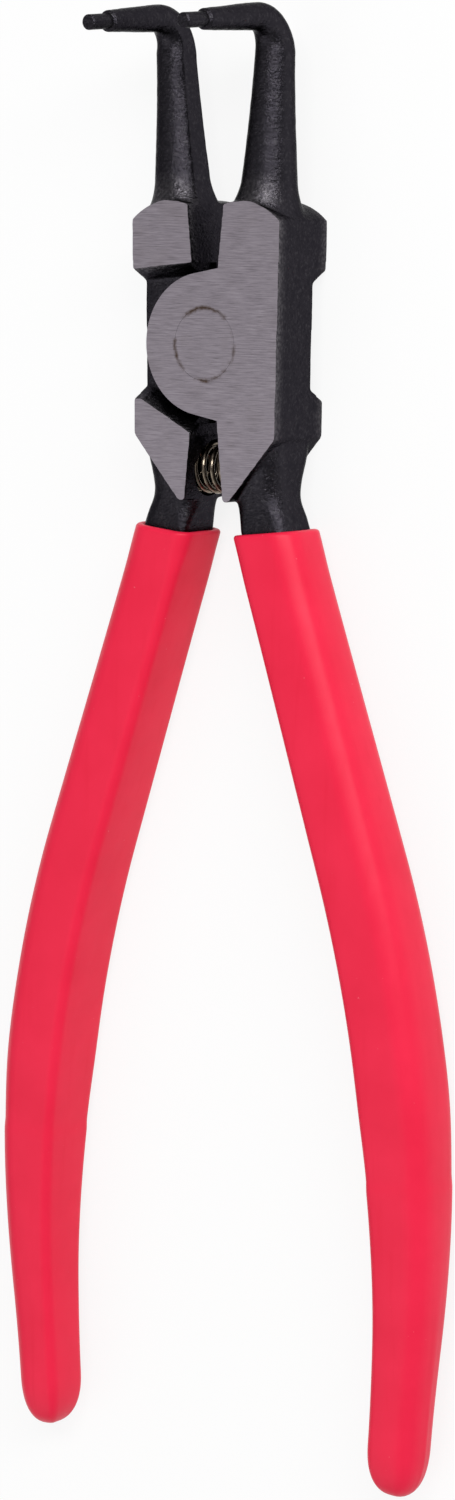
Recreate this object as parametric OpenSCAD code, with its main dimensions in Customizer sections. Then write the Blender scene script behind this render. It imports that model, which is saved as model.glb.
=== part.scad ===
// Circlip pliers with tips bent at a right angle, lying on their back.
// Two forged arms turn on a flush rivet; a coil spring between the heels opens the dipped handles.
// X runs across the handles, Y towards the jaws, Z up through the pivot; the back ground face is Z = 0.

/* [Joint head] */
// Thickness of the head between its two ground faces
head_t = 10; // [9:0.1:12]
// Half width of the head, midway along its outer walls
head_half_w = 10.35; // [10.1:0.05:12]
// Lean of the outer walls, which stand wider at the shoulders and narrower at the heels
wall_lean = 0.24; // [0:0.02:0.4]
// Radius of the round lap disc on each arm
disc_r = 8.4; // [8:0.05:8.8]
// Rise of the flat beside the disc, up to the arm's inner corner
flat_rise = 0.5; // [0.2:0.05:0.6]
// Running gap between a lap disc and the pocket of the other arm
pocket_gap = 0.3; // [0.15:0.05:0.5]
// Gap between the two lap faces
lap_gap = 0.06; // [0.03:0.01:0.15]
// Depth of the forged rim below the ground face
rim_drop = 2.6; // [1.5:0.1:3.5]
// Run of the sloping step from each pad down to the rim
step_run = 1.4; // [0.8:0.1:1.8]
// Half gap between the arms beside the disc
inner_gap = 1.75; // [1.6:0.05:2.2]
// Angle at which the arms' inner faces open away from the pivot
inner_angle = 5.5; // [5:0.1:7]
// Height of the shoulder's crown above the pivot
shoulder_h = 16.75; // [15.5:0.05:18]
// Radius of the arched shoulder
shoulder_r = 8; // [7:0.1:12]
// Distance of the shoulder's crown from the middle plane
shoulder_x = 5; // [4.5:0.1:6]
// Distance from the pivot to the lower edge of an upper pad
upper_pad_d = 9.65; // [9.4:0.05:10.5]
// Slope of the upper pad's lower edge
upper_pad_slope = 6; // [3:0.5:9]
// Distance from the pivot to the upper edge of a lower pad
lower_pad_d = 10.15; // [9.9:0.05:10.6]
// Slope of the lower pad's upper edge
lower_pad_slope = 28; // [22:0.5:32]
// Distance from the pivot down to the blunt outer corner of a lower pad
lower_corner_h = 6.65; // [6.2:0.05:7]
// Distance from the pivot down to the end of the heel
heel_h = 18.5; // [18.2:0.1:20]
// Width of the heel's blunt end
heel_end_w = 0.9; // [0.5:0.1:2]
// Distance from the pivot down to where the heel's slant starts
heel_wall_h = 10.9; // [10:0.1:12]

/* [Rivet] */
// Diameter of the rivet's shank
shank_d = 6.4; // [5:0.1:7]
// Diameter of the rivet's flush ends
rivet_end_d = 8.5; // [7.5:0.1:10]
// Depth of the countersink under each flush end
rivet_sink = 1.2; // [0.8:0.1:2]
// Radial clearance of the rivet in the arm that turns on it
rivet_run = 0.05; // [0.02:0.01:0.1]
// Radial clearance of the rivet in the arm that holds it
rivet_hold = 0.02; // [0.01:0.01:0.04]

/* [Jaws] */
// Diameter of the round jaw where it grows out of its shoulder
jaw_root_d = 7.7; // [7.2:0.05:7.8]
// Diameter of the round jaw where its bend starts
jaw_bend_d = 4.8; // [4.2:0.05:5]
// Depth of the flat on a jaw's inner side at its root, as a share of its diameter
root_flat = 0.06; // [0.05:0.005:0.08]
// Depth of the flat on a jaw's inner side at its bend, as a share of its diameter
bend_flat = 0.085; // [0.05:0.005:0.1]
// Flare of a jaw where it grows out of its shoulder
jaw_flare = 0.3; // [0.1:0.05:0.4]
// Width of the fillet around a jaw's root
root_fillet = 0.4; // [0.2:0.05:0.5]
// Distance of a jaw's axis from the middle plane at its root
jaw_root_x = 5.95; // [5.8:0.05:6.4]
// Distance of a jaw's axis from the middle plane at its bend
jaw_bend_x = 7.05; // [6.8:0.05:8]
// Distance of the jaw's axis in front of the lap plane at its root
jaw_root_z = 0.7; // [0.4:0.1:0.9]
// Distance of the jaw's axis in front of the lap plane at its bend
jaw_bend_z = 1.1; // [0.5:0.1:1.5]
// Radius of the bend along the jaw's axis
bend_r = 3.9; // [3:0.1:4.6]
// Angle through which the jaw is bent
bend_angle = 94; // [80:1:100]
// Diameter of the bent arm just after the bend
arm_d = 3.3; // [2.9:0.1:3.6]
// Diameter of the bent arm at its turned shoulder
collar_d = 2.5; // [2.2:0.1:2.8]
// Length of the chamfer on the turned shoulder
collar_chamfer = 0.3; // [0.1:0.05:0.5]

/* [Tips] */
// Diameter of the turned tips that enter the ring's eyes
tip_d = 1.8; // [1.3:0.1:1.9]
// Length of the turned tips
tip_len = 3.8; // [3:0.1:6]
// Chamfer at the end of each tip
tip_chamfer = 0.15; // [0.05:0.05:0.3]
// Distance of each tip's end from the middle plane
tip_x = 6.65; // [6.3:0.05:8]
// Height of each tip's end above the pivot
tip_y = 36.9; // [32:0.1:45]
// Reach of the tips in front of the back ground face
tip_z = 24.1; // [20:0.1:30]

/* [Handles] */
// Distance from the pivot down to the root of a handle's tang
tang_root_h = 11; // [10.8:0.1:12]
// Distance of the tang's axis from the middle plane at its root
tang_root_x = 5.7; // [5.5:0.05:6.5]
// Length of the straight stretch at the tang's root
tang_root_len = 3; // [2:0.1:4]
// Radius of the first turn, away from the middle plane
neck_turn_r = 20; // [12:1:30]
// Angle at which a handle leaves the head
handle_angle = 18.3; // [16:0.1:22]
// Length of the straight stretch below the neck
handle_run = 42.2; // [35:0.1:60]
// Radius of the turn that brings the handles parallel
palm_turn_r = 150; // [120:1:200]
// Angle by which the handle's tail turns back past parallel
tail_angle = 4; // [0:0.5:8]
// Length of the straight tail of a tang
tail_run = 13; // [8:0.1:30]
// Width of the tang at its root
root_w = 8; // [7:0.1:8.4]
// Thickness of the tang at its root
root_t = 7.8; // [7:0.1:8.6]
// Width of the tang at the neck
neck_w = 6.5; // [5.8:0.1:7]
// Thickness of the tang at the neck
neck_t = 6.8; // [6:0.1:7.4]
// Width of the tang at the palm
palm_w = 7.1; // [6:0.1:8]
// Thickness of the tang at the palm
palm_t = 7.6; // [6.4:0.1:8]
// Width of the tang at its tail
tail_w = 4.7; // [4:0.1:5.6]
// Thickness of the tang at its tail
tail_t = 5; // [4.2:0.1:5.8]

/* [Grips] */
// Wall of the dipped grips over the tang
grip_wall = 0.95; // [0.6:0.05:1.1]
// Gap between a tang and its grip
grip_gap = 0.05; // [0.02:0.01:0.1]
// Distance along the tang from its root to the grip's rim
grip_start = 11.2; // [10.5:0.1:14]
// Rounded end of a grip beyond its tang
grip_end = 5; // [3:0.1:6]
// Share of a grip's width that its rounded end takes away
grip_end_round = 0.8; // [0.5:0.02:0.9]
// Angle by which a grip's rim is turned back towards level
rim_skew = 12; // [0:1:16]
// Length over which the rim's skew fades out
rim_fade = 14; // [8:1:30]

/* [Spring] */
// Outer diameter of the return spring
spring_d = 6.2; // [5:0.1:6.4]
// Diameter of the spring's wire
wire_d = 0.65; // [0.5:0.05:0.7]
// Number of turns of the spring
spring_turns = 11; // [9:1:13]
// Distance of the spring's axis below the pivot
spring_h = 14.8; // [14.3:0.1:15]
// Radial clearance of the spring in its seats
seat_clear = 0.3; // [0.2:0.05:0.4]
// Depth of each spring seat behind the arm's inner face
seat_depth = 4.2; // [3.6:0.1:4.8]
// End clearance of the spring at the bottom of each seat
seat_end_gap = 0.05; // [0.02:0.01:0.1]

/* [Hidden] */

$fn = 96;
mid_z = head_t / 2;
reach = 100;
cut = 1;

forging_colour = [0.12, 0.12, 0.13];
ground_colour = [0.6, 0.6, 0.6];
spring_colour = [0.55, 0.47, 0.36];
grip_colour = [0.85, 0.1, 0.17];

// Outline of an arm, on the side of the middle plane where its jaw and handle are
corner_h = disc_r + flat_rise;
shoulder_y = shoulder_h - shoulder_r;
arch_from = acos((head_half_w + wall_lean - shoulder_x) / shoulder_r);
arch_to = acos((inner_x(shoulder_h) - shoulder_x) / shoulder_r);
arch_steps = 12;
upper_pad_dir = 90 - upper_pad_slope;
lower_pad_dir = lower_pad_slope - 90;
corner_relief = 0.6;

function spoke(a) = [cos(a), sin(a)];
function inner_x(y) = inner_gap + (abs(y) - disc_r) * tan(inner_angle);
function inner_corner(side) = [inner_x(corner_h), side * corner_h];
function arch_point(a) = [shoulder_x, shoulder_y] + shoulder_r * spoke(a);
function tangent_point(p, side) =
    let (a = atan2(p.y, p.x) + side * acos(disc_r / norm(p)))
    disc_r * spoke(a);

// Sections of the forged bars: a rounded box with its own corner radius on the inner and outer side,
// and a round with a flat on its inner side
corner_steps = 4;
arc_steps = 18;
flat_steps = 3;
arm_flat = 0.01;

function corner_arc(c, r, from) =
    [for (i = [0 : corner_steps]) c + r * spoke(from + 90 * i / corner_steps)];
function box_ring(w, t, r_in, r_out) = concat(
    corner_arc([w / 2 - r_out, t / 2 - r_out], r_out, 0),
    corner_arc([r_in - w / 2, t / 2 - r_in], r_in, 90),
    corner_arc([r_in - w / 2, r_in - t / 2], r_in, 180),
    corner_arc([w / 2 - r_out, r_out - t / 2], r_out, 270));
function round_ring(d, flat) =
    let (e = acos(2 * flat - 1))
    let (edge = d / 2 * spoke(e))
    concat(
        [for (i = [0 : arc_steps]) d / 2 * spoke(mix(-e, e, i / arc_steps))],
        [for (i = [1 : flat_steps - 1]) [edge.x, edge.y * (1 - 2 * i / flat_steps)]]);
function place(ring, centre, across, up) = [for (p = ring) centre + p.x * across + p.y * up];
function mix(a, b, t) = a + (b - a) * t;
function ease(t) = let (u = min(1, max(0, t))) u * u * (3 - 2 * u);

// Stations of a jaw: straight up from the shoulder, round the bend, then out along the bent arm
jaw_start = shoulder_h - 3;
flare_end = shoulder_h + 2.5;
fillet_run = 1.5;
fillet_end = shoulder_h + fillet_run;
fillet_steps = 4;
bend_z = mid_z + jaw_bend_z;
elbow_z = bend_z + bend_r * (1 - cos(bend_angle));
elbow_y = tip_y - (tip_z - elbow_z) / tan(bend_angle);
bend_y = elbow_y - bend_r * sin(bend_angle);
elbow = [jaw_bend_x, elbow_y, elbow_z];
tip_end = [tip_x, tip_y, tip_z];
arm_run = norm(tip_end - elbow);
arm_dir = (tip_end - elbow) / arm_run;
collar_run = arm_run - tip_len;
jaw_steps = 8;
bend_steps = 6;
arm_steps = 4;

function jaw_ring(y) =
    let (t = (y - jaw_start) / (bend_y - jaw_start))
    let (flare = jaw_flare * pow(max(0, (flare_end - y) / (flare_end - jaw_start)), 2))
    let (fillet = root_fillet * pow(max(0, 1 - abs(y - shoulder_h) / fillet_run), 2))
    let (d = mix(jaw_root_d, jaw_bend_d, 1 - pow(1 - t, 1.4)) + 2 * (flare + fillet))
    let (centre = [mix(jaw_root_x, jaw_bend_x, t), y, mid_z + mix(jaw_root_z, jaw_bend_z, t)])
    place(round_ring(d, mix(root_flat, bend_flat, t)), centre, [1, 0, 0], [0, 0, 1]);
function bend_ring(t) =
    let (a = bend_angle * t)
    let (centre = [jaw_bend_x, bend_y + bend_r * sin(a), bend_z + bend_r * (1 - cos(a))])
    place(round_ring(mix(jaw_bend_d, arm_d, t), mix(bend_flat, arm_flat, t)), centre,
        [1, 0, 0], [0, -sin(a), cos(a)]);
function arm_ring(run, d) =
    place(round_ring(d, arm_flat), elbow + run * arm_dir,
        [1, 0, 0], [0, -sin(bend_angle), cos(bend_angle)]);
jaw_rings = concat(
    [jaw_ring(jaw_start)],
    [for (i = [0 : fillet_steps]) jaw_ring(mix(shoulder_h, fillet_end, i / fillet_steps))],
    [for (i = [1 : jaw_steps]) jaw_ring(mix(fillet_end, bend_y, pow(i / jaw_steps, 1.1)))],
    [for (i = [1 : bend_steps]) bend_ring(i / bend_steps)],
    [for (i = [1 : arm_steps])
        let (t = i / arm_steps)
        arm_ring((collar_run - collar_chamfer) * t, mix(arm_d, collar_d, t))],
    [arm_ring(collar_run, collar_d - 2 * collar_chamfer)]);

// Axis of a handle: straight, a turn out, straight, a long turn back and a straight tail
neck_end = tang_root_len + neck_turn_r * handle_angle * PI / 180;
run_end = neck_end + handle_run;
palm_end = run_end + palm_turn_r * (handle_angle + tail_angle) * PI / 180;
tang_len = palm_end + tail_run;
palm_from = 0.55 * tang_len;
palm_to = 0.62 * tang_len;

function heading(s) =
    s < tang_root_len ? 0 :
    s < neck_end ? (s - tang_root_len) / neck_turn_r * 180 / PI :
    s < run_end ? handle_angle :
    s < palm_end ? handle_angle - (s - run_end) / palm_turn_r * 180 / PI :
    -tail_angle;
function straight(p, s, a) = p + s * [sin(a), -cos(a)];
function turn_out(p, r, a) = p + r * [1 - cos(a), -sin(a)];
function turn_back(p, r, a0, a1) = p + r * [cos(a1) - cos(a0), sin(a1) - sin(a0)];
root_point = [tang_root_x, -tang_root_h];
neck_point = turn_out(straight(root_point, tang_root_len, 0), neck_turn_r, handle_angle);
run_point = straight(neck_point, handle_run, handle_angle);
palm_point = turn_back(run_point, palm_turn_r, handle_angle, -tail_angle);
function axis_point(s) =
    s < tang_root_len ? straight(root_point, s, 0) :
    s < neck_end ? turn_out(straight(root_point, tang_root_len, 0), neck_turn_r, heading(s)) :
    s < run_end ? straight(neck_point, s - neck_end, handle_angle) :
    s < palm_end ? turn_back(run_point, palm_turn_r, handle_angle, heading(s)) :
    straight(palm_point, s - palm_end, -tail_angle);
function bar_size(s, root, neck, palm, tail) =
    s < neck_end ? mix(root, neck, ease(s / neck_end)) :
    s < palm_from ? mix(neck, palm, ease((s - neck_end) / (palm_from - neck_end))) :
    mix(palm, tail, ease((s - palm_to) / (tang_len - palm_to)));

// Sections of a tang and of the grip around it, grown by a wall and shrunk by a factor at a rounded end
tang_inner_r = 0.9;
tang_outer_r = 2;
tang_steps = 24;
grip_steps = 22;
end_steps = 5;

function tang_ring(s, grow = 0, shrink = 1, skew = 0) =
    let (a = heading(s))
    let (p = axis_point(s))
    let (across = [cos(a), sin(a), 0] + tan(skew) * [sin(a), -cos(a), 0])
    let (w = bar_size(s, root_w, neck_w, palm_w, tail_w) + 2 * grow)
    let (t = bar_size(s, root_t, neck_t, palm_t, tail_t) + 2 * grow)
    place(shrink * box_ring(w, t, tang_inner_r + grow, tang_outer_r + grow), [p.x, p.y, mid_z],
        across, [0, 0, -1]);
function grip_skew(s) = rim_skew * max(0, 1 - (s - grip_start) / rim_fade);
tang_rings = [for (i = [0 : tang_steps]) tang_ring(tang_len * i / tang_steps)];
grip_cavity = [for (i = [grip_steps : -1 : 0])
    let (s = mix(grip_start, tang_len + grip_gap, i / grip_steps))
    tang_ring(s, grip_gap, 1, grip_skew(s))];
grip_skin = [for (i = [0 : grip_steps])
    let (s = mix(grip_start, tang_len, i / grip_steps))
    tang_ring(s, grip_gap + grip_wall, 1, grip_skew(s))];
grip_cap = [for (i = [1 : end_steps])
    let (a = 90 * i / end_steps)
    tang_ring(tang_len + grip_end * sin(a), grip_gap + grip_wall, 1 - grip_end_round * (1 - cos(a)))];

// Turns of the spring, with a closed turn at each end
spring_free = 2 * (inner_x(spring_h) + seat_depth - seat_end_gap);
spring_pitch = (spring_free - 3 * wire_d) / (spring_turns - 2);
spring_r = (spring_d - wire_d) / 2;
wire_sides = 6;
turn_steps = 14;

function coil_x(n) =
    wire_d / 2 - spring_free / 2 + wire_d * (min(n, 1) + max(n - spring_turns + 1, 0))
    + spring_pitch * min(max(n - 1, 0), spring_turns - 2);
function wire_ring(n) =
    let (out = [0, cos(360 * n), sin(360 * n)])
    let (centre = [coil_x(n), -spring_h, mid_z] + spring_r * out)
    [for (i = [0 : wire_sides - 1])
        centre + wire_d / 2 * (cos(360 * i / wire_sides) * out + sin(360 * i / wire_sides) * [1, 0, 0])];

// Closed skin through a row of rings, with a flat cap at each end
module loft(rings) {
    sides = len(rings[0]);
    last = len(rings) - 1;
    points = [for (ring = rings) each ring];
    walls = [for (i = [0 : last - 1]) for (j = [0 : sides - 1])
        let (k = (j + 1) % sides)
        each [
            [i * sides + j, i * sides + k, (i + 1) * sides + k],
            [i * sides + j, (i + 1) * sides + k, (i + 1) * sides + j]]];
    first_cap = [for (j = [sides - 1 : -1 : 0]) j];
    last_cap = [for (j = [0 : sides - 1]) last * sides + j];
    polyhedron(points, concat(walls, [first_cap, last_cap]));
}

module arm_outline() {
    polygon(concat(
        [inner_corner(-1), [inner_x(heel_h), -heel_h], [inner_x(heel_h) + heel_end_w, -heel_h]],
        [[head_half_w - wall_lean, -heel_wall_h]],
        [for (i = [0 : arch_steps]) arch_point(mix(arch_from, arch_to, i / arch_steps))],
        [inner_corner(1)]));
}

module lap_outline() {
    circle(disc_r);
    polygon([
        [0, 0], tangent_point(inner_corner(-1), -1), inner_corner(-1),
        inner_corner(1), tangent_point(inner_corner(1), 1)]);
    arm_outline();
}

// Everything beyond one edge of a pad, with the face of the step sloping out towards the rim
module pad_side(distance, direction) {
    rotate(direction)
        translate([distance, 0, 0])
            rotate([0, -atan(step_run / rim_drop), 0])
                translate([0, -reach, -reach])
                    cube([reach, 2 * reach, 2 * reach]);
}

// Hollow behind an arm: the low rim between the pads, and the pocket for the other arm's disc and its flats
module rear_hollow() {
    difference() {
        translate([-reach, -reach, -cut])
            cube([2 * reach, 2 * reach, rim_drop + cut]);
        pad_side(upper_pad_d, upper_pad_dir);
        intersection() {
            pad_side(lower_pad_d, lower_pad_dir);
            pad_side(lower_corner_h, -90);
        }
    }
    translate([0, 0, -cut])
        linear_extrude(mid_z + lap_gap / 2 + cut) {
            circle(disc_r + pocket_gap);
            square(2 * [inner_gap + corner_relief, corner_h + corner_relief], center = true);
        }
}

// Head of one arm: lap disc in front, pads of full thickness, and the hollow behind
module arm_head() {
    translate([0, 0, mid_z + lap_gap / 2])
        linear_extrude(mid_z - lap_gap / 2)
            lap_outline();
    difference() {
        linear_extrude(head_t)
            arm_outline();
        rear_hollow();
    }
}

// Jaw with its bent arm and turned tip, and the tang of the handle
module arm_bars() {
    loft(jaw_rings);
    translate(elbow)
        rotate([0, acos(arm_dir.z), atan2(arm_dir.y, arm_dir.x)])
            rotate_extrude()
                polygon([
                    [0, collar_run - cut], [tip_d / 2, collar_run - cut], [tip_d / 2, arm_run - tip_chamfer],
                    [tip_d / 2 - tip_chamfer, arm_run], [0, arm_run]]);
    loft(tang_rings);
}

// Rivet, grown by a radial clearance; flush at both ground faces
module rivet_form(clear = 0) {
    rotate_extrude()
        polygon([
            [0, 0], [rivet_end_d / 2 + clear, 0], [shank_d / 2 + clear, rivet_sink],
            [shank_d / 2 + clear, head_t - rivet_sink], [rivet_end_d / 2 + clear, head_t], [0, head_t]]);
}

module spring_seat() {
    translate([inner_x(spring_h) + seat_depth, -spring_h, mid_z])
        rotate([0, -90, 0])
            cylinder(d = spring_d + 2 * seat_clear, h = 2 * seat_depth);
}

module front_arm() {
    color(forging_colour)
        difference() {
            union() {
                arm_head();
                arm_bars();
            }
            rivet_form(rivet_hold);
            spring_seat();
        }
}

module rear_arm() {
    color(forging_colour)
        difference() {
            union() {
                translate([0, 0, head_t])
                    rotate([0, 180, 0])
                        arm_head();
                mirror([1, 0, 0])
                    arm_bars();
            }
            rivet_form(rivet_run);
            mirror([1, 0, 0])
                spring_seat();
        }
}

module pivot_rivet() {
    color(ground_colour)
        rivet_form();
}

module return_spring() {
    color(spring_colour)
        loft([for (i = [0 : spring_turns * turn_steps]) wire_ring(i / turn_steps)]);
}

module right_grip() {
    color(grip_colour)
        loft(concat(grip_cavity, grip_skin, grip_cap));
}

module left_grip() {
    mirror([1, 0, 0])
        right_grip();
}

front_arm();
rear_arm();
pivot_rivet();
return_spring();
right_grip();
left_grip();
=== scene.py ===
from math import acos, atan2, cos, hypot, pi, radians, sin, sqrt, tan

import bmesh
import bpy
from mathutils import Matrix, Vector, noise


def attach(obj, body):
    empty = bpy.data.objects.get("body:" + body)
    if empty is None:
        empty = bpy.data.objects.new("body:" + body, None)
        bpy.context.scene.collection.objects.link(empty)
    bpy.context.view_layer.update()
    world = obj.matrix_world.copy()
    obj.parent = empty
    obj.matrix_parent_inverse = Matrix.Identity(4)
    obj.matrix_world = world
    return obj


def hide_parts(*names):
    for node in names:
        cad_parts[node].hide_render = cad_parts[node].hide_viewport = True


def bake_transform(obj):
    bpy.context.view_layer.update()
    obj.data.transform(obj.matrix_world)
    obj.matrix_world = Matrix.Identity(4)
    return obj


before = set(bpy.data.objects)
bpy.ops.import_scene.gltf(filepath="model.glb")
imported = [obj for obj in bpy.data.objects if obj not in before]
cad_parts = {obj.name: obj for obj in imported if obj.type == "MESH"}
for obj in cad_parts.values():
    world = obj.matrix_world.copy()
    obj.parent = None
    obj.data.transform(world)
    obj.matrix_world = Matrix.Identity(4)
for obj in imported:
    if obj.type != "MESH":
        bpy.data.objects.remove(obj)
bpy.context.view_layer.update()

# Sizes in millimetres, as in the CAD model; a finished mesh is scaled to metres
MM = 0.001
HEAD_T = 10.0
MID_Z = HEAD_T / 2
HALF_W = 10.35
WALL_LEAN = 0.24
DISC_R = 8.4
FLAT_RISE = 0.5
POCKET_GAP = 0.3
LAP_GAP = 0.06
RIM_DROP = 2.6
STEP_RUN = 1.4
INNER_GAP = 1.75
INNER_ANGLE = radians(5.5)
SHOULDER_H = 16.75
SHOULDER_R = 8.0
SHOULDER_X = 5.0
OUTLINE_R = 0.9
UPPER_PAD_D = 9.65
UPPER_PAD_DIR = radians(84)
LOWER_PAD_D = 10.15
LOWER_PAD_DIR = radians(-62)
LOWER_CORNER_H = 6.65
CORNER_RELIEF = 0.6
GRINDING_END = SHOULDER_H + 0.45
HEEL_H = 18.5
HEEL_END_W = 0.9
HEEL_WALL_H = 10.9

SHANK_D = 6.4
RIVET_END_D = 8.5
RIVET_SINK = 1.2

JAW_D = (7.7, 4.8)
JAW_X = (5.95, 7.05)
JAW_Z = (0.7, 1.1)
JAW_TAPER = 1.4
JAW_FLAT = (0.06, 0.085)
ARM_FLAT = 0.01
JAW_FLARE = 0.3
ROOT_FILLET = 0.65
FILLET_RUN = 2.8
ARCH_FROM = SHOULDER_H + 0.5
ARCH_RUN = 4.0
FACE_GAP = 0.02
BEND_R = 3.9
BEND_ANGLE = radians(94)
ARM_D = 3.3
COLLAR_D = 2.5
COLLAR_CHAMFER = 0.3
TIP_D = 1.8
TIP_LEN = 3.8
TIP_CHAMFER = 0.15
TIP_END = Vector((6.65, 36.9, 24.1))

TANG_ROOT_H = 11.0
TANG_ROOT_X = 5.7
TANG_ROOT_LEN = 3.0
NECK_TURN_R = 20.0
HANDLE_ANGLE = radians(18.3)
HANDLE_RUN = 42.2
PALM_TURN_R = 150.0
TAIL_ANGLE = radians(4)
TAIL_RUN = 13.0
TANG_W = (8.0, 6.5, 7.1, 4.7)
TANG_T = (7.8, 6.8, 7.6, 5.0)
TANG_INNER_R = 0.9
TANG_OUTER_R = 2.0
TANG_FIT = 0.05
TANG_HIDDEN_FROM = 14.0
NECK_DEEPER = 1.8
NECK_DEEP_RUN = 9.0
NECK_R = (2.4, 2.8)
NECK_BOX_FROM = 7.0
NECK_BOX_RUN = 4.0

GRIP_WALL = 0.95
GRIP_TRIM = 0.02
GRIP_GAP = 0.05
GRIP_START = 11.2
GRIP_END = 5.0
END_OVERLAP = 1.5
END_SHAPE = 2.4
END_STEPS = 24
GRIP_CROWN = 0.07
GRIP_TIGHT = 0.5
LIP_FADE = 6.0
RIM_SKEW = radians(12)
RIM_FADE = 14.0
KNUCKLE = 89.0
KNUCKLE_DENT = 0.1
KNUCKLE_RISE = 9.0
KNUCKLE_FALL = 1.5

SPRING_D = 6.2
WIRE_D = 0.65
SPRING_TURNS = 11
SPRING_H = 14.8
SEAT_CLEAR = 0.3
SEAT_DEPTH = 4.2
SEAT_PLAY = 0.05

# Finish of the forgings: voxel size, rounding passes, stock for the ground faces, room for an uneven skin,
# and the height and spacing of its bumps
VOXEL = 0.15
ROUNDING = 14
STOCK = 0.1
SKIN = 0.06
SKIN_BUMPS = ((0.025, 2.6), (0.02, 0.8))


def mix(a, b, t):
    return a + (b - a) * t


def ease(t):
    t = min(1.0, max(0.0, t))
    return t * t * (3 - 2 * t)


# Meshes and the steps that shape them

def add_object(name, shells):
    """Object made of closed shells, each a list of points and a list of faces."""
    bm = bmesh.new()
    for points, faces in shells:
        verts = [bm.verts.new(p) for p in points]
        for face in faces:
            bm.faces.new([verts[i] for i in face])
    bmesh.ops.recalc_face_normals(bm, faces=bm.faces)
    mesh = bpy.data.meshes.new(name)
    bm.to_mesh(mesh)
    bm.free()
    obj = bpy.data.objects.new(name, mesh)
    bpy.context.scene.collection.objects.link(obj)
    return obj


def loft(rings):
    """Closed skin through rings of equal length; a ring of one point closes an end."""
    points = []
    starts = []
    for ring in rings:
        starts.append(len(points))
        points.extend(ring)
    faces = []
    for a, b in zip(range(len(rings) - 1), range(1, len(rings))):
        n = max(len(rings[a]), len(rings[b]))
        for j in range(n):
            k = (j + 1) % n
            if len(rings[a]) == 1:
                faces.append((starts[a], starts[b] + k, starts[b] + j))
            elif len(rings[b]) == 1:
                faces.append((starts[a] + j, starts[a] + k, starts[b]))
            else:
                faces.append((starts[a] + j, starts[a] + k, starts[b] + k, starts[b] + j))
    for index in (0, len(rings) - 1):
        if len(rings[index]) > 1:
            faces.append(tuple(range(starts[index], starts[index] + len(rings[index]))))
    return points, faces


def prism(outline, z0, z1):
    return loft([[Vector((x, y, z)) for x, y in outline] for z in (z0, z1)])


def revolve(profile, origin, axis, steps=72):
    """Closed skin of revolution; the profile lists radius and distance along the axis."""
    axis = Vector(axis).normalized()
    side = axis.orthogonal().normalized()
    up = axis.cross(side)
    rings = []
    for r, along in profile:
        centre = Vector(origin) + along * axis
        if r == 0:
            rings.append([centre])
        else:
            rings.append([centre + r * (cos(2 * pi * i / steps) * side + sin(2 * pi * i / steps) * up)
                          for i in range(steps)])
    return loft(rings)


def block(low, high):
    (x0, y0, z0), (x1, y1, z1) = low, high
    return prism([(x0, y0), (x1, y0), (x1, y1), (x0, y1)], z0, z1)


def apply_modifiers(obj):
    graph = bpy.context.evaluated_depsgraph_get()
    mesh = bpy.data.meshes.new_from_object(obj.evaluated_get(graph))
    old = obj.data
    obj.modifiers.clear()
    obj.data = mesh
    bpy.data.meshes.remove(old)


def combine(obj, shell, operation):
    """Joins a shell to an object or cuts it away."""
    tool = add_object("tool", [shell])
    modifier = obj.modifiers.new("combine", "BOOLEAN")
    modifier.operation = operation
    modifier.solver = "MANIFOLD"
    modifier.object = tool
    apply_modifiers(obj)
    mesh = tool.data
    bpy.data.objects.remove(tool)
    bpy.data.meshes.remove(mesh)


def finish_mesh(obj, sharp_angle):
    """Scales a mesh to metres and shades it smooth between sharp edges and between materials."""
    mesh = obj.data
    mesh.transform(Matrix.Scale(MM, 4))
    mesh.polygons.foreach_set("use_smooth", [True] * len(mesh.polygons))
    mesh.set_sharp_from_angle(angle=sharp_angle)
    bm = bmesh.new()
    bm.from_mesh(mesh)
    for edge in bm.edges:
        if len({face.material_index for face in edge.link_faces}) > 1:
            edge.smooth = False
    bm.to_mesh(mesh)
    bm.free()
    mesh.update()


# Outlines of the head

def inner_x(y):
    return INNER_GAP + (abs(y) - DISC_R) * tan(INNER_ANGLE)


def inner_corner(side):
    corner_h = DISC_R + FLAT_RISE
    return inner_x(corner_h), side * corner_h


def arm_outline():
    start = acos((HALF_W + WALL_LEAN - SHOULDER_X) / SHOULDER_R)
    end = acos((inner_x(SHOULDER_H) - SHOULDER_X) / SHOULDER_R)
    points = [inner_corner(-1), (inner_x(HEEL_H), -HEEL_H), (inner_x(HEEL_H) + HEEL_END_W, -HEEL_H),
              (HALF_W - WALL_LEAN, -HEEL_WALL_H)]
    for i in range(33):
        a = mix(start, end, i / 32)
        points.append((SHOULDER_X + SHOULDER_R * cos(a), SHOULDER_H - SHOULDER_R + SHOULDER_R * sin(a)))
    points.append(inner_corner(1))
    return points


def rounded(outline, radius):
    """Outline with its corners rounded."""
    result = []
    count = len(outline)
    for i in range(count):
        before, here, after = (Vector(outline[(i + j) % count]) for j in (-1, 0, 1))
        to_before, to_after = before - here, after - here
        half = to_before.angle(to_after) / 2
        if half > radians(80):
            result.append(tuple(here))
            continue
        reach = min(radius / tan(half), 0.45 * to_before.length, 0.45 * to_after.length)
        start = here + reach * to_before.normalized()
        end = here + reach * to_after.normalized()
        for j in range(7):
            t = j / 6
            result.append(tuple((1 - t) ** 2 * start + 2 * t * (1 - t) * here + t ** 2 * end))
    return result


def lap_disc_outline():
    """Round lap disc with its two flats, reaching into its own arm."""
    x, y = inner_corner(1)
    tangent = atan2(y, x) + acos(DISC_R / hypot(x, y))
    arc = [mix(tangent, 2 * pi - tangent, i / 120) for i in range(121)]
    round_side = [(DISC_R * cos(a), DISC_R * sin(a)) for a in arc]
    return round_side + [(x, -y), (x + 3, -y + 1), (x + 3, y - 1), (x, y)]


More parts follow.
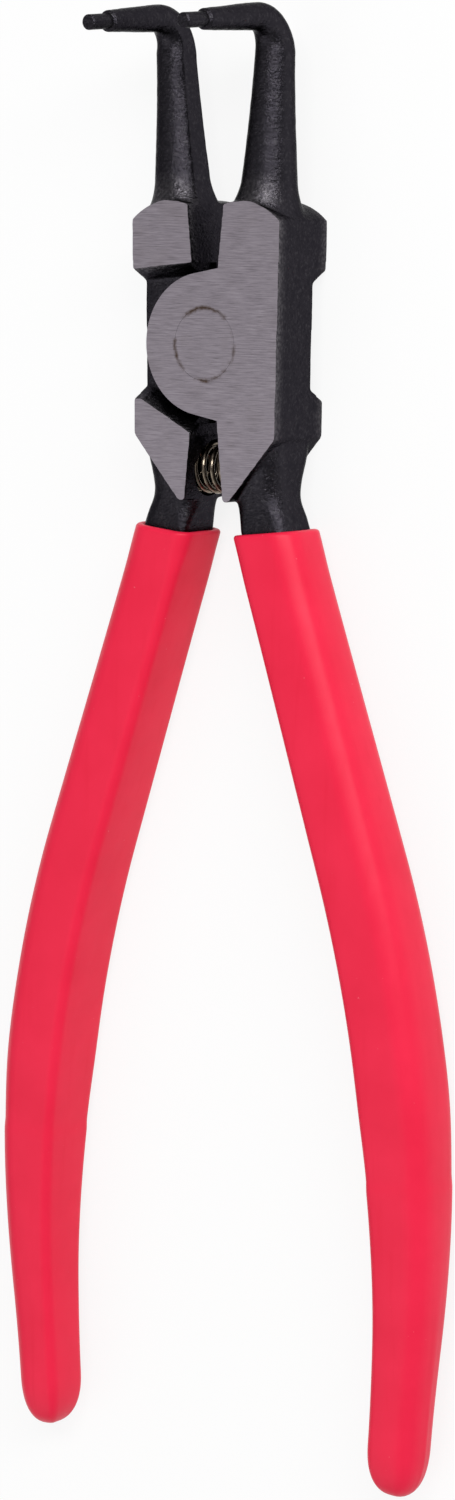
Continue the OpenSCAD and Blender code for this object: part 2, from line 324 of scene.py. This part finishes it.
def rim_hollow(lower_dir, lower_d):
    """Hollow behind a head: down to the low rim, between the sloping steps of the upper and the lower pad."""
    rings = []
    for z in (-2.0, RIM_DROP):
        run = z * STEP_RUN / RIM_DROP
        ring = []
        for x, direction, distance in ((-4, UPPER_PAD_DIR, UPPER_PAD_D), (-4, lower_dir, lower_d),
                                       (14, lower_dir, lower_d), (14, UPPER_PAD_DIR, UPPER_PAD_D)):
            ring.append(Vector((x, (distance - run - x * cos(direction)) / sin(direction), z)))
        rings.append(ring)
    return loft(rings)


# Sections of the jaws and handles

def box_ring(w, t, r_in, r_out, crown=0.0):
    """Rounded box whose inner side is at -w/2, with its flat sides crowned a little."""
    w, t = w - 2 * crown, t - 2 * crown
    corners = [(w / 2 - r_out, t / 2 - r_out, r_out), (r_in - w / 2, t / 2 - r_in, r_in),
               (r_in - w / 2, r_in - t / 2, r_in), (w / 2 - r_out, r_out - t / 2, r_out)]
    points = []
    for i, (x, y, r) in enumerate(corners):
        for j in range(9):
            a = pi / 2 * (i + j / 8)
            points.append((x + r * cos(a), y + r * sin(a)))
        a = pi / 2 * (i + 1)
        nx, ny, nr = corners[(i + 1) % 4]
        for j in range(1, 6):
            u = j / 6
            bulge = crown * (1 - (2 * u - 1) ** 2)
            points.append((mix(x, nx, u) + (mix(r, nr, u) + bulge) * cos(a),
                           mix(y, ny, u) + (mix(r, nr, u) + bulge) * sin(a)))
    return points


def round_ring(d, flat):
    """Round section with a flat on its inner side, as deep as a share of its diameter."""
    end = acos(2 * flat - 1)
    x, y = d / 2 * cos(end), d / 2 * sin(end)
    arc = [(d / 2 * cos(a), d / 2 * sin(a)) for a in (mix(-end, end, i / 36) for i in range(37))]
    return arc + [(x, y * (1 - i / 3)) for i in range(1, 6)]


def place(ring, centre, across, up):
    return [centre + x * across + y * up for x, y in ring]


X_AXIS = Vector((1, 0, 0))
JAW_START = SHOULDER_H - 3
FLARE_END = SHOULDER_H + 2.5
BEND_Z = MID_Z + JAW_Z[1]
ELBOW_Z = BEND_Z + BEND_R * (1 - cos(BEND_ANGLE))
ELBOW_Y = TIP_END.y - (TIP_END.z - ELBOW_Z) / tan(BEND_ANGLE)
BEND_Y = ELBOW_Y - BEND_R * sin(BEND_ANGLE)
ELBOW = Vector((JAW_X[1], ELBOW_Y, ELBOW_Z))
ARM_RUN = (TIP_END - ELBOW).length
ARM_DIR = (TIP_END - ELBOW).normalized()
COLLAR_RUN = ARM_RUN - TIP_LEN


def jaw_ring(y):
    """Section of a jaw; near its root it follows the arched shoulder and keeps behind the arm's inner face."""
    t = (y - JAW_START) / (BEND_Y - JAW_START)
    flare = 2 * JAW_FLARE * max(0.0, (FLARE_END - y) / (FLARE_END - JAW_START)) ** 2
    fillet = 2 * ROOT_FILLET * max(0.0, 1 - abs(y - SHOULDER_H) / FILLET_RUN) ** 2
    d = mix(*JAW_D, 1 - (1 - t) ** JAW_TAPER) + flare + fillet - SKIN
    centre = Vector((mix(*JAW_X, t), y, MID_Z + mix(*JAW_Z, t)))
    ring = place(round_ring(d, mix(*JAW_FLAT, t)), centre, X_AXIS, Vector((0, 0, 1)))
    arched = 1 - ease((y - ARCH_FROM) / ARCH_RUN)
    for p in ring:
        p.x = max(p.x, inner_x(y) + FACE_GAP)
        p.y -= arched * (SHOULDER_R - sqrt(SHOULDER_R ** 2 - (p.x - SHOULDER_X) ** 2))
    return ring


def bend_ring(t):
    a = BEND_ANGLE * t
    centre = Vector((JAW_X[1], BEND_Y + BEND_R * sin(a), BEND_Z + BEND_R * (1 - cos(a))))
    ring = round_ring(mix(JAW_D[1], ARM_D, t) - SKIN, mix(JAW_FLAT[1], ARM_FLAT, t))
    return place(ring, centre, X_AXIS, Vector((0, -sin(a), cos(a))))


def arm_ring(t):
    up = Vector((0, -sin(BEND_ANGLE), cos(BEND_ANGLE)))
    ring = round_ring(mix(ARM_D, COLLAR_D, t), ARM_FLAT)
    return place(ring, ELBOW + COLLAR_RUN * t * ARM_DIR, X_AXIS, up)


def jaw_blank():
    """Round jaw, its bend and the bent arm, a little longer than the arm's turned shoulder."""
    rings = [jaw_ring(mix(JAW_START, BEND_Y, i / 72)) for i in range(73)]
    rings += [bend_ring(i / 16) for i in range(1, 17)]
    return loft(rings + [arm_ring(i / 8) for i in range(1, 10)])


NECK_END = TANG_ROOT_LEN + NECK_TURN_R * HANDLE_ANGLE
RUN_END = NECK_END + HANDLE_RUN
PALM_END = RUN_END + PALM_TURN_R * (HANDLE_ANGLE + TAIL_ANGLE)
TANG_LEN = PALM_END + TAIL_RUN
PALM_FROM = 0.55 * TANG_LEN
PALM_TO = 0.62 * TANG_LEN


def heading(s):
    if s < TANG_ROOT_LEN:
        return 0.0
    if s < NECK_END:
        return (s - TANG_ROOT_LEN) / NECK_TURN_R
    if s < RUN_END:
        return HANDLE_ANGLE
    if s < PALM_END:
        return HANDLE_ANGLE - (s - RUN_END) / PALM_TURN_R
    return -TAIL_ANGLE


def axis_point(s):
    """Point on a handle's axis, a distance s from the root of its tang."""
    a = heading(s)
    p = Vector((TANG_ROOT_X, -TANG_ROOT_H, MID_Z)) - Vector((0, min(s, TANG_ROOT_LEN), 0))
    if s < TANG_ROOT_LEN:
        return p
    turn = a if s < NECK_END else HANDLE_ANGLE
    p = p + NECK_TURN_R * Vector((1 - cos(turn), -sin(turn), 0))
    if s < NECK_END:
        return p
    p = p + (min(s, RUN_END) - NECK_END) * Vector((sin(HANDLE_ANGLE), -cos(HANDLE_ANGLE), 0))
    if s < RUN_END:
        return p
    p = p + PALM_TURN_R * Vector((cos(a) - cos(HANDLE_ANGLE), sin(a) - sin(HANDLE_ANGLE), 0))
    if s < PALM_END:
        return p
    return p + (s - PALM_END) * Vector((sin(a), -cos(a), 0))


def bar_size(s, sizes):
    root, neck, palm, tail = sizes
    if s < NECK_END:
        return mix(root, neck, ease(s / NECK_END))
    if s < PALM_FROM:
        return mix(neck, palm, ease((s - NECK_END) / (PALM_FROM - NECK_END)))
    return mix(palm, tail, ease((s - PALM_TO) / (TANG_LEN - PALM_TO)))


def tang_ring(s, grow=0.0, shrink=1.0, skew=0.0, crown=0.0, tight=0.0):
    """Section of a tang or of the grip around it; the inner corners can be tightened."""
    a = heading(s)
    across = Vector((cos(a), sin(a), 0)) + tan(skew) * Vector((sin(a), -cos(a), 0))
    w = bar_size(s, TANG_W) + 2 * grow
    t = bar_size(s, TANG_T) + 2 * grow
    ring = box_ring(w, t, TANG_INNER_R + grow - tight, TANG_OUTER_R + grow, crown)
    return place([(shrink * x, shrink * y) for x, y in ring], axis_point(s), across, Vector((0, 0, -1)))


def neck_ring(s):
    """Section of the bare neck: deep and round at its root, boxed like the tang where the grip starts."""
    a = heading(s)
    boxed = ease((s - NECK_BOX_FROM) / NECK_BOX_RUN)
    deep = bar_size(s, TANG_T) + NECK_DEEPER * (1 - ease(s / NECK_DEEP_RUN))
    r_in, r_out = mix(NECK_R[0], TANG_INNER_R, boxed), mix(NECK_R[1], TANG_OUTER_R, boxed)
    ring = box_ring(bar_size(s, TANG_W), deep, r_in, r_out)
    return place(ring, axis_point(s), Vector((cos(a), sin(a), 0)), Vector((0, 0, -1)))


# Pieces

def turned_over(shell):
    """The head of the rear arm is the same head turned over about its long axis."""
    points, faces = shell
    return [Vector((-p.x, p.y, HEAD_T - p.z)) for p in points], faces


def mirrored(shell):
    points, faces = shell
    return [Vector((-p.x, p.y, p.z)) for p in points], faces


def kept(shell):
    return shell


def roughen(mesh):
    """Uneven skin of a forging."""
    normals = [v.normal.copy() for v in mesh.vertices]
    points = [v.co.copy() for v in mesh.vertices]
    moved = []
    for p, n in zip(points, normals):
        lift = sum(height * noise.noise(p / spacing) for height, spacing in SKIN_BUMPS)
        moved.extend(p + lift * n)
    mesh.vertices.foreach_set("co", moved)


def mark_ground(mesh):
    """Gives the ground faces their own material and merges their triangles."""
    bm = bmesh.new()
    bm.from_mesh(mesh)
    for face in bm.faces:
        height = max(min(abs(v.co.z), abs(v.co.z - HEAD_T)) for v in face.verts)
        face.material_index = 1 if height < 0.001 else 0
    inside = [edge for edge in bm.edges if all(face.material_index == 1 for face in edge.link_faces)]
    bmesh.ops.dissolve_limit(bm, angle_limit=radians(1), edges=inside)
    bm.to_mesh(mesh)
    bm.free()


def make_arm(name, on_head, on_bars, rivet_clear):
    """Forged blank with rounded edges, then the machined faces, holes and turned tip."""
    lap_z = MID_Z + LAP_GAP / 2
    arm = add_object(name, [on_head(prism(rounded(arm_outline(), OUTLINE_R), -STOCK, HEAD_T + STOCK))])
    for direction, distance in ((LOWER_PAD_DIR, LOWER_PAD_D), (-pi / 2, LOWER_CORNER_H)):
        combine(arm, on_head(rim_hollow(direction, distance)), "DIFFERENCE")
    combine(arm, on_bars(jaw_blank()), "UNION")
    combine(arm, on_bars(loft([neck_ring(0.5 * i) for i in range(33)])), "UNION")

    voxels = arm.modifiers.new("voxels", "REMESH")
    voxels.mode = "VOXEL"
    voxels.voxel_size = VOXEL
    relax = arm.modifiers.new("relax", "SMOOTH")
    relax.factor = 0.5
    relax.iterations = ROUNDING
    apply_modifiers(arm)
    roughen(arm.data)

    collar_r = COLLAR_D / 2
    turning = revolve([(0, 0), (collar_r - COLLAR_CHAMFER, 0), (collar_r, -COLLAR_CHAMFER), (3, -COLLAR_CHAMFER),
                       (3, 5), (0, 5)], ELBOW + COLLAR_RUN * ARM_DIR, ARM_DIR)
    combine(arm, on_bars(turning), "DIFFERENCE")
    tip = revolve([(0, -2), (TIP_D / 2, -2), (TIP_D / 2, TIP_LEN - TIP_CHAMFER),
                   (TIP_D / 2 - TIP_CHAMFER, TIP_LEN), (0, TIP_LEN)],
                  ELBOW + COLLAR_RUN * ARM_DIR, ARM_DIR, 48)
    combine(arm, on_bars(tip), "UNION")
    tang = loft([tang_ring(mix(TANG_HIDDEN_FROM, TANG_LEN, i / 40), grow=-TANG_FIT) for i in range(41)])
    combine(arm, on_bars(tang), "UNION")
    combine(arm, on_head(prism(lap_disc_outline(), lap_z, HEAD_T + STOCK)), "UNION")

    pocket = revolve([(0, -3), (DISC_R + POCKET_GAP, -3), (DISC_R + POCKET_GAP, lap_z), (0, lap_z)],
                     (0, 0, 0), (0, 0, 1), 144)
    combine(arm, on_head(pocket), "DIFFERENCE")
    x, y = INNER_GAP + CORNER_RELIEF, DISC_R + FLAT_RISE + CORNER_RELIEF
    combine(arm, on_head(block((-x, -y, -3), (x, y, lap_z))), "DIFFERENCE")
    combine(arm, block((-20, -22, HEAD_T), (20, GRINDING_END, HEAD_T + 2)), "DIFFERENCE")
    combine(arm, block((-20, -22, -2), (20, 20, 0)), "DIFFERENCE")
    end_r, shank_r = RIVET_END_D / 2 + rivet_clear, SHANK_D / 2 + rivet_clear
    bore = revolve([(0, -1), (end_r + 0.8, -1), (end_r, 0), (shank_r, RIVET_SINK),
                    (shank_r, HEAD_T - RIVET_SINK), (end_r, HEAD_T), (end_r + 0.8, HEAD_T + 1),
                    (0, HEAD_T + 1)], (0, 0, 0), (0, 0, 1), 96)
    combine(arm, bore, "DIFFERENCE")
    seat_r = SPRING_D / 2 + SEAT_CLEAR
    seat = revolve([(0, -SEAT_DEPTH), (seat_r, -SEAT_DEPTH), (seat_r, SEAT_DEPTH), (0, SEAT_DEPTH)],
                   (inner_x(SPRING_H), -SPRING_H, MID_Z), (1, 0, 0), 72)
    combine(arm, on_bars(seat), "DIFFERENCE")

    arm.data.materials.clear()
    arm.data.materials.append(forging)
    arm.data.materials.append(ground)
    mark_ground(arm.data)
    finish_mesh(arm, radians(35))
    return arm


def make_grip(name, on_bars):
    """Dipped sleeve with a soft lip, a faint knuckle at the palm and a blunt rounded end."""
    def skew(s):
        return RIM_SKEW * max(0.0, 1 - (s - GRIP_START) / RIM_FADE)

    inside, outside = GRIP_GAP, GRIP_GAP + GRIP_WALL - GRIP_TRIM
    lip = GRIP_WALL / 2
    rings = []
    for i in range(41):
        s = mix(TANG_LEN + GRIP_GAP, GRIP_START + lip, i / 40)
        rings.append(tang_ring(s, inside, skew=skew(s)))
    for i in range(1, 10):
        a = pi * i / 10
        s = GRIP_START + lip * (1 - sin(a))
        rings.append(tang_ring(s, (inside + outside) / 2 - lip * cos(a), skew=skew(s)))
    for i in range(181):
        s = mix(GRIP_START + lip, TANG_LEN - END_OVERLAP, i / 180)
        full = ease((s - GRIP_START - lip) / LIP_FADE)
        rise, fall = ease((s - KNUCKLE + KNUCKLE_RISE) / KNUCKLE_RISE), ease((s - KNUCKLE) / KNUCKLE_FALL)
        dent = KNUCKLE_DENT * rise * (1 - fall)
        rings.append(tang_ring(s, outside - dent, skew=skew(s), crown=GRIP_CROWN * full, tight=GRIP_TIGHT * full))
    for i in range(1, END_STEPS):
        u = sin(pi / 2 * i / END_STEPS)
        shrink = (1 - u ** END_SHAPE) ** (1 / END_SHAPE)
        s = TANG_LEN - END_OVERLAP + (GRIP_END + END_OVERLAP) * u
        rings.append(tang_ring(s, outside, shrink, crown=GRIP_CROWN, tight=GRIP_TIGHT))
    rings.append([axis_point(TANG_LEN + GRIP_END)])
    grip = add_object(name, [on_bars(loft(rings))])
    grip.data.materials.append(dipped)
    finish_mesh(grip, radians(60))
    return grip


def make_spring():
    free = 2 * (inner_x(SPRING_H) + SEAT_DEPTH - SEAT_PLAY)
    pitch = (free - 3 * WIRE_D) / (SPRING_TURNS - 2)
    coil_r = (SPRING_D - WIRE_D) / 2
    steps = 30
    rings = []
    for i in range(SPRING_TURNS * steps + 1):
        n = i / steps
        x = WIRE_D / 2 - free / 2 + WIRE_D * (min(n, 1) + max(n - SPRING_TURNS + 1, 0))
        x += pitch * min(max(n - 1, 0), SPRING_TURNS - 2)
        out = Vector((0, cos(2 * pi * n), sin(2 * pi * n)))
        centre = Vector((x, -SPRING_H, MID_Z)) + coil_r * out
        rings.append([centre + WIRE_D / 2 * (cos(pi * j / 6) * out + sin(pi * j / 6) * X_AXIS) for j in range(12)])
    spring = add_object("spring_coil", [loft(rings)])
    spring.data.materials.append(wire)
    finish_mesh(spring, radians(60))
    return spring


# Materials, in millimetres of the part's own frame

def new_material(name):
    material = bpy.data.materials.new(name)
    material.use_nodes = True
    tree = material.node_tree
    tree.nodes.clear()
    return material, tree


def add_node(tree, kind, inputs=(), **settings):
    """Node with its settings, and inputs that are either constants or links."""
    node = tree.nodes.new(kind)
    for key, value in settings.items():
        setattr(node, key, value)
    for key, value in dict(inputs).items():
        if isinstance(value, bpy.types.NodeSocket):
            tree.links.new(value, node.inputs[key])
        else:
            node.inputs[key].default_value = value
    return node


def part_coords(tree, stretch=(1, 1, 1)):
    coords = add_node(tree, "ShaderNodeTexCoord")
    scale = [1000 * s for s in stretch]
    return add_node(tree, "ShaderNodeMapping", {"Vector": coords.outputs["Object"], "Scale": scale}).outputs[0]


def noise_value(tree, vector, scale, detail=3.0, roughness=0.55):
    return add_node(tree, "ShaderNodeTexNoise", {
        "Vector": vector, "Scale": scale, "Detail": detail, "Roughness": roughness}).outputs["Fac"]


def ramp(tree, value, low, high, to_low=0.0, to_high=1.0):
    return add_node(tree, "ShaderNodeMapRange", {
        "Value": value, "From Min": low, "From Max": high, "To Min": to_low, "To Max": to_high}).outputs[0]


def calc(tree, operation, *values):
    return add_node(tree, "ShaderNodeMath", dict(enumerate(values)), operation=operation).outputs[0]


def mix_colour(tree, factor, a, b):
    return add_node(tree, "ShaderNodeMix", {0: factor, 6: a, 7: b}, data_type="RGBA").outputs[2]


def add_surface(tree, inputs):
    shader = add_node(tree, "ShaderNodeBsdfPrincipled", inputs)
    add_node(tree, "ShaderNodeOutputMaterial", {"Surface": shader.outputs[0]})
    return shader


def grey(value):
    return (value, value, value, 1)


# Where the black skin is lightened: beside the ground faces, partly by wear and partly by a painted highlight of the
# rounded edges, and on the front of the jaws' roots by a painted highlight
RUB_AND_HIGHLIGHT_DEPTH = 1.8
RUB_AND_HIGHLIGHT_FADE = 1.6
RUB_AND_HIGHLIGHT_UPPER_Y = (20.2, 17.6)
RUB_AND_HIGHLIGHT_LOWER_Y = (-11.6, -10.4)
# Span and strength of the painted highlight on the front of the jaws' roots
ROOT_HIGHLIGHT_Y = (16.0, 16.8)
ROOT_HIGHLIGHT_Z = (7.2, 8.8)
ROOT_HIGHLIGHT_SHARE = 0.75

# Colours, from the darker to the lighter tone of each finish
BLACK_SKIN = (0.0246, 0.0228, 0.0282, 1), (0.0330, 0.0302, 0.0366, 1)
SKIN_SPECK = (0.085, 0.080, 0.088, 1)
# Skin lightened partly by wear and partly by painted highlight
RUBBED_AND_HIGHLIGHT_SKIN = (0.130, 0.122, 0.132, 1)
# Convex edges: partly wear, partly a painted glint
WORN_AND_GLINT_EDGE = (0.10, 0.10, 0.10, 1)
GROUND_STEEL = (0.245, 0.217, 0.248, 1), (0.430, 0.385, 0.435, 1)
GROUND_HAIR = (0.13, 0.114, 0.125, 1)
GROUND_STAIN = (0.23, 0.20, 0.203, 1)
RIVET_SEAM = (0.09, 0.058, 0.042, 1)
SPRING_WIRE = (0.13, 0.105, 0.08, 1), (0.27, 0.225, 0.175, 1)
DIPPED_RED = (0.795, 0.0145, 0.054, 1), (0.85, 0.019, 0.064, 1)
FLOW_MARK = (0.76, 0.009, 0.040, 1)
DUST = (0.86, 0.25, 0.30, 1)


def rub_and_highlight_mask(tree, coords, speck):
    """How far the skin is lightened by wear and by painted highlight, broken up by its specks."""
    at = add_node(tree, "ShaderNodeSeparateXYZ", {0: coords}).outputs
    depth = calc(tree, "ABSOLUTE", calc(tree, "SUBTRACT", at["Z"], MID_Z))
    rub_and_highlight = calc(tree, "POWER", ramp(tree, depth, MID_Z - RUB_AND_HIGHLIGHT_DEPTH, MID_Z), RUB_AND_HIGHLIGHT_FADE)
    # Painted highlight on the front of the jaws' roots
    root = calc(tree, "MULTIPLY", ramp(tree, at["Y"], *ROOT_HIGHLIGHT_Y, 0, ROOT_HIGHLIGHT_SHARE), ramp(tree, at["Z"], *ROOT_HIGHLIGHT_Z))
    rub_and_highlight = calc(tree, "MAXIMUM", rub_and_highlight, root)
    for share in (ramp(tree, at["Y"], *RUB_AND_HIGHLIGHT_UPPER_Y), ramp(tree, at["Y"], *RUB_AND_HIGHLIGHT_LOWER_Y),
                  ramp(tree, speck, 0.38, 0.64, 0.25, 1.0)):
        rub_and_highlight = calc(tree, "MULTIPLY", rub_and_highlight, share)
    return rub_and_highlight


def make_forging():
    """Phosphated black forging: a finely grained skin, faintly mottled and specked, lightened near the ground faces
    by wear and painted highlight, with a painted highlight on the jaws' roots.
    """
    material, tree = new_material("black_forging")
    coords = part_coords(tree)
    mottle = noise_value(tree, coords, 0.9, 4)
    grain = noise_value(tree, part_coords(tree, (0.7, 1.3, 0.7)), 2.7, 3, 0.65)
    speck = noise_value(tree, part_coords(tree, (1, 0.75, 1)), 3.4, 2, 0.5)
    base = mix_colour(tree, ramp(tree, mottle, 0.3, 0.7), *BLACK_SKIN)
    base = mix_colour(tree, ramp(tree, speck, 0.54, 0.68, 0, 0.3), base, SKIN_SPECK)
    # Painted highlight beside the ground faces (partly wear there) and on the front of the jaws' roots
    base = mix_colour(tree, rub_and_highlight_mask(tree, coords, speck), base, RUBBED_AND_HIGHLIGHT_SKIN)
    pointed = add_node(tree, "ShaderNodeNewGeometry").outputs["Pointiness"]
    # Convex edges lightened by pointiness: partly wear, partly a painted glint
    worn_and_glint = calc(tree, "MULTIPLY", ramp(tree, pointed, 0.54, 0.64, 0, 0.3), ramp(tree, grain, 0.4, 0.65))
    base = mix_colour(tree, worn_and_glint, base, WORN_AND_GLINT_EDGE)
    bump = add_node(tree, "ShaderNodeBump", {"Height": grain, "Strength": 1.0, "Distance": 0.00013})
    add_surface(tree, {
        "Base Color": base, "Metallic": 1.0, "Roughness": ramp(tree, mottle, 0.3, 0.7, 0.22, 0.30),
        "Specular Tint": grey(0.45), "Normal": bump.outputs[0]})
    return material


def make_ground():
    """Ground steel: grinding lines across the part, a few dark hairs, faint stains and the rivet's brown seam."""
    material, tree = new_material("ground_steel")
    coords = part_coords(tree)
    lines = noise_value(tree, part_coords(tree, (0.34, 6.5, 1)), 1.0, 4, 0.7)
    hair = noise_value(tree, part_coords(tree, (0.35, 9, 1)), 1.0, 2, 0.6)
    stain = noise_value(tree, coords, 0.22, 3)
    base = mix_colour(tree, ramp(tree, lines, 0.32, 0.68), *GROUND_STEEL)
    base = mix_colour(tree, ramp(tree, hair, 0.60, 0.74, 0, 0.7), base, GROUND_HAIR)
    base = mix_colour(tree, ramp(tree, stain, 0.55, 0.75, 0, 0.22), base, GROUND_STAIN)
    flat = add_node(tree, "ShaderNodeVectorMath", {0: coords, 1: (1, 1, 0)}, operation="MULTIPLY")
    radius = add_node(tree, "ShaderNodeVectorMath", {0: flat.outputs[0]}, operation="LENGTH").outputs["Value"]
    wobble = ramp(tree, noise_value(tree, coords, 1.3, 3), 0.3, 0.7, -0.14, 0.14)
    off_seam = calc(tree, "SUBTRACT", calc(tree, "ADD", radius, wobble), RIVET_END_D / 2)
    seam = ramp(tree, calc(tree, "ABSOLUTE", off_seam), 0.06, 0.38, 1, 0)
    patchy = ramp(tree, noise_value(tree, coords, 0.42, 3), 0.42, 0.60, 0.0, 0.95)
    base = mix_colour(tree, calc(tree, "MULTIPLY", seam, patchy), base, RIVET_SEAM)
    rough = ramp(tree, lines, 0.3, 0.7, 0.36, 0.48)
    bump = add_node(tree, "ShaderNodeBump", {"Height": lines, "Strength": 0.35, "Distance": 0.00003})
    bump = add_node(tree, "ShaderNodeBump", {
        "Height": hair, "Strength": 0.3, "Distance": 0.00002, "Normal": bump.outputs[0]})
    add_surface(tree, {
        "Base Color": base, "Metallic": 0.9, "Roughness": rough, "Normal": bump.outputs[0]})
    return material


def make_wire():
    """Oil-tempered spring wire."""
    material, tree = new_material("spring_wire")
    coords = part_coords(tree)
    tone = noise_value(tree, coords, 1.6, 3)
    base = mix_colour(tree, ramp(tree, tone, 0.3, 0.7), *SPRING_WIRE)
    fine = noise_value(tree, coords, 14, 2)
    bump = add_node(tree, "ShaderNodeBump", {"Height": fine, "Strength": 0.15, "Distance": 0.00002})
    add_surface(tree, {
        "Base Color": base, "Metallic": 1.0, "Roughness": ramp(tree, fine, 0.3, 0.7, 0.15, 0.26),
        "Normal": bump.outputs[0]})
    return material


def make_dipped():
    """Dipped soft vinyl: even red with a satin skin, faint flow marks and dust."""
    material, tree = new_material("dipped_grip")
    coords = part_coords(tree)
    cloud = noise_value(tree, coords, 0.12, 3)
    flow = noise_value(tree, part_coords(tree, (1, 0.06, 1)), 0.9, 3)
    grain = noise_value(tree, coords, 7, 2)
    base = mix_colour(tree, ramp(tree, cloud, 0.3, 0.7), *DIPPED_RED)
    base = mix_colour(tree, ramp(tree, flow, 0.58, 0.75, 0, 0.25), base, FLOW_MARK)
    dust = ramp(tree, noise_value(tree, coords, 2.3, 1), 0.80, 0.84, 0, 0.5)
    base = mix_colour(tree, dust, base, DUST)
    rough = ramp(tree, flow, 0.3, 0.7, 0.36, 0.42)
    bump = add_node(tree, "ShaderNodeBump", {"Height": cloud, "Strength": 0.25, "Distance": 0.0004})
    bump = add_node(tree, "ShaderNodeBump", {
        "Height": grain, "Strength": 0.12, "Distance": 0.00004, "Normal": bump.outputs[0]})
    add_surface(tree, {
        "Base Color": base, "Roughness": rough, "Specular IOR Level": 0.18, "Normal": bump.outputs[0]})
    return material


forging = make_forging()
ground = make_ground()
wire = make_wire()
dipped = make_dipped()

front_arm = make_arm("front_forging", kept, kept, rivet_clear=0.02)
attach(front_arm, "front_half")
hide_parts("front_arm")

rear_arm = make_arm("rear_forging", turned_over, mirrored, rivet_clear=0.05)
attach(rear_arm, "rear_half")
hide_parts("rear_arm")

right_grip = make_grip("right_sleeve", kept)
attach(right_grip, "front_half")
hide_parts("right_grip")

left_grip = make_grip("left_sleeve", mirrored)
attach(left_grip, "rear_half")
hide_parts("left_grip")

spring = make_spring()
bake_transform(spring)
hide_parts("return_spring")

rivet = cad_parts["pivot_rivet"]
rivet.data.materials.clear()
rivet.data.materials.append(ground)


# Floor, light and camera

WHITE_SHARE = 0.86
FLOOR_SIZE = 12.0
FLOOR_Z = -0.00003
LIGHT_AIM = (0, -0.05, 0)
WORLD_STRENGTH = 0.36


def make_floor():
    """Pale floor that looks nearly white and keeps the shadow."""
    material, tree = new_material("pale_floor")
    rays = add_node(tree, "ShaderNodeLightPath").outputs
    seen = calc(tree, "MAXIMUM", rays["Is Camera Ray"], rays["Is Glossy Ray"])
    seen = calc(tree, "MAXIMUM", seen, rays["Is Transmission Ray"])
    share = ramp(tree, seen, 0, 1, 0, WHITE_SHARE)
    matte = add_node(tree, "ShaderNodeBsdfDiffuse", {"Color": grey(0.9)})
    bright = add_node(tree, "ShaderNodeEmission", {"Color": grey(1.0), "Strength": 1.0})
    blend = add_node(tree, "ShaderNodeMixShader", {0: share, 1: matte.outputs[0], 2: bright.outputs[0]})
    add_node(tree, "ShaderNodeOutputMaterial", {"Surface": blend.outputs[0]})
    bm = bmesh.new()
    bmesh.ops.create_grid(bm, x_segments=1, y_segments=1, size=FLOOR_SIZE)
    mesh = bpy.data.meshes.new("floor")
    bm.to_mesh(mesh)
    bm.free()
    mesh.materials.append(material)
    floor = bpy.data.objects.new("floor", mesh)
    floor.location.z = FLOOR_Z
    bpy.context.scene.collection.objects.link(floor)


def add_light(name, place_at, across, size, power):
    """Soft box that faces the object, with its width along a direction."""
    light = bpy.data.lights.new(name, "AREA")
    light.shape = "RECTANGLE"
    light.size, light.size_y = size
    light.energy = power
    back = (Vector(place_at) - Vector(LIGHT_AIM)).normalized()
    up = back.cross(Vector(across)).normalized()
    pose = Matrix((up.cross(back), up, back)).transposed().to_4x4()
    pose.translation = place_at
    lamp = bpy.data.objects.new(name, light)
    lamp.matrix_world = pose
    bpy.context.scene.collection.objects.link(lamp)


make_floor()
add_light("key", place_at=(0.46, 0.36, 0.59), across=(0.79, 0, -0.61), size=(0.9, 0.2), power=6.0)
add_light("fill", place_at=(-0.35, -0.60, 0.75), across=(1, 0, 0), size=(1.1, 1.1), power=3.0)

world = bpy.data.worlds.new("studio")
world.use_nodes = True
background = world.node_tree.nodes["Background"]
background.inputs["Color"].default_value = grey(1.0)
background.inputs["Strength"].default_value = WORLD_STRENGTH
bpy.context.scene.world = world
bpy.context.scene.view_settings.view_transform = "Standard"

# Camera fitted to the photo
camera_data = bpy.data.cameras.new("camera")
camera_data.sensor_fit = "VERTICAL"
camera_data.sensor_height = 36.0
camera_data.lens = 102.84
camera_data.clip_start = 0.01
camera = bpy.data.objects.new("camera", camera_data)
right = Vector((0.81994, 0.00796, -0.57239))
up = Vector((-0.07931, 0.99184, -0.09981))
back = right.cross(up)
aim = Vector((0.00022, -0.04855, 0.00485))
distance = 0.51347
pose = Matrix((right, up, back)).transposed().to_4x4()
pose.translation = aim + distance * back
camera.matrix_world = pose
bpy.context.scene.collection.objects.link(camera)
bpy.context.scene.camera = camera
